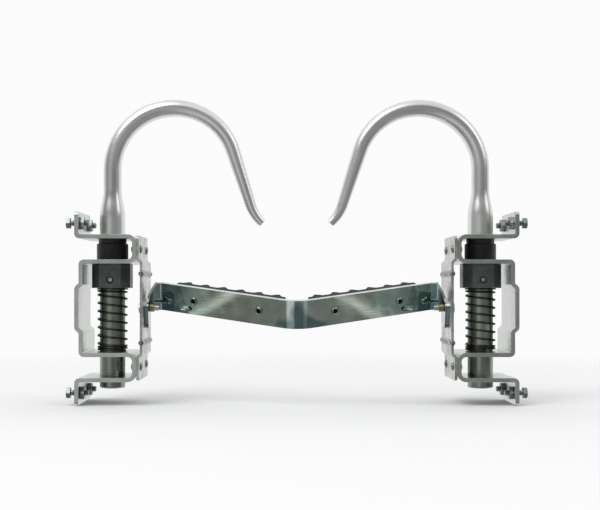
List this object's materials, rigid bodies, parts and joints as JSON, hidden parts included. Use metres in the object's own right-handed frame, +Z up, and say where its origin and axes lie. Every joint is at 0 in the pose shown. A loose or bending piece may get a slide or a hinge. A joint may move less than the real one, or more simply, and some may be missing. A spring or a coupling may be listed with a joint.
{
  "type": "ladder stabilizer head",
  "caption": "Ladder head with swivelling spring-loaded cable hooks at both sides and a hinged, rubber-padded V-rung between folded rail brackets.",
  "frame": {"origin": "midway between the two ladder rails, level with the V-rung's pivots, in the plane of the two hook shafts", "axes": "+X from the left rail to the right rail, +Y away from the climber towards the pole or cable, +Z up along the rails"},
  "size_m": [0.3586, 0.0811, 0.2395],
  "materials": {
    "bracket_aluminium": "satin mill-finish strip with light scuffs",
    "hook_aluminium": "polished bar with fine scratches",
    "shaft_metal": "dull drawn bar with a thin film of grease",
    "zinc_plate": "bright zinc plate",
    "yellow_zinc": "dull yellow zinc",
    "black_plastic": "matt black moulded",
    "spring_black": "oiled black spring wire",
    "pad_rubber": "ribbed black rubber"
  },
  "bodies": {
    "head_frame": {"left_rail_bracket": "bracket_aluminium", "left_bridge_plate": "bracket_aluminium", "left_cross_pin_upper": "zinc_plate", "left_tab_bolt_upper_front": "zinc_plate", "left_tab_nut_upper_front": "zinc_plate", "left_bridge_rivet_upper_front": "zinc_plate", "left_tab_bolt_upper_back": "zinc_plate", "left_tab_nut_upper_back": "zinc_plate", "left_bridge_rivet_upper_back": "zinc_plate", "left_cross_pin_lower": "zinc_plate", "left_tab_bolt_lower_front": "zinc_plate", "left_tab_nut_lower_front": "zinc_plate", "left_bridge_rivet_lower_front": "zinc_plate", "left_tab_bolt_lower_back": "zinc_plate", "left_tab_nut_lower_back": "zinc_plate", "left_bridge_rivet_lower_back": "zinc_plate", "left_pivot_pin": "zinc_plate", "left_pivot_collar": "yellow_zinc", "left_upper_bushing": "black_plastic", "left_return_spring": "spring_black", "right_rail_bracket": "bracket_aluminium", "right_bridge_plate": "bracket_aluminium", "right_cross_pin_upper": "zinc_plate", "right_tab_bolt_upper_front": "zinc_plate", "right_tab_nut_upper_front": "zinc_plate", "right_bridge_rivet_upper_front": "zinc_plate", "right_tab_bolt_upper_back": "zinc_plate", "right_tab_nut_upper_back": "zinc_plate", "right_bridge_rivet_upper_back": "zinc_plate", "right_cross_pin_lower": "zinc_plate", "right_tab_bolt_lower_front": "zinc_plate", "right_tab_nut_lower_front": "zinc_plate", "right_bridge_rivet_lower_front": "zinc_plate", "right_tab_bolt_lower_back": "zinc_plate", "right_tab_nut_lower_back": "zinc_plate", "right_bridge_rivet_lower_back": "zinc_plate", "right_pivot_pin": "zinc_plate", "right_pivot_collar": "yellow_zinc", "right_upper_bushing": "black_plastic", "right_return_spring": "spring_black"},
    "left_carrier": {"left_thrust_washer": "spring_black"},
    "left_hook_column": {"left_hook": "hook_aluminium", "left_hook_shaft": "shaft_metal", "left_lock_block": "black_plastic", "left_set_screw": "zinc_plate"},
    "right_carrier": {"right_thrust_washer": "spring_black"},
    "right_hook_column": {"right_hook": "hook_aluminium", "right_hook_shaft": "shaft_metal", "right_lock_block": "black_plastic", "right_set_screw": "zinc_plate"},
    "rung": {"v_rung": "zinc_plate", "left_rung_pad": "pad_rubber", "left_pad_rivet_inner": "zinc_plate", "left_pad_rivet_outer": "zinc_plate", "right_rung_pad": "pad_rubber", "right_pad_rivet_inner": "zinc_plate", "right_pad_rivet_outer": "zinc_plate"}
  },
  "joints": [
    {"name": "left_hook_press", "type": "slide", "parent": "head_frame", "child": "left_carrier", "axis": [0, 0, -1], "range_m": [0, 0.02], "stiffness_N_per_m": 820, "springref_m": -0.011, "deforming": ["left_return_spring"]},
    {"name": "left_hook_swivel", "type": "hinge", "parent": "left_carrier", "child": "left_hook_column", "pos_m": [-0.146, 0, 0], "axis": [0, 0, 1], "range_deg": [-90, 90]},
    {"name": "right_hook_press", "type": "slide", "parent": "head_frame", "child": "right_carrier", "axis": [0, 0, -1], "range_m": [0, 0.02], "stiffness_N_per_m": 820, "springref_m": -0.011, "deforming": ["right_return_spring"]},
    {"name": "right_hook_swivel", "type": "hinge", "parent": "right_carrier", "child": "right_hook_column", "pos_m": [0.146, 0, 0], "axis": [0, 0, 1], "range_deg": [-90, 90]},
    {"name": "rung_tilt", "type": "hinge", "parent": "head_frame", "child": "rung", "pos_m": [0, -0.01, 0], "axis": [1, 0, 0], "range_deg": [-45, 60]}
  ]
}
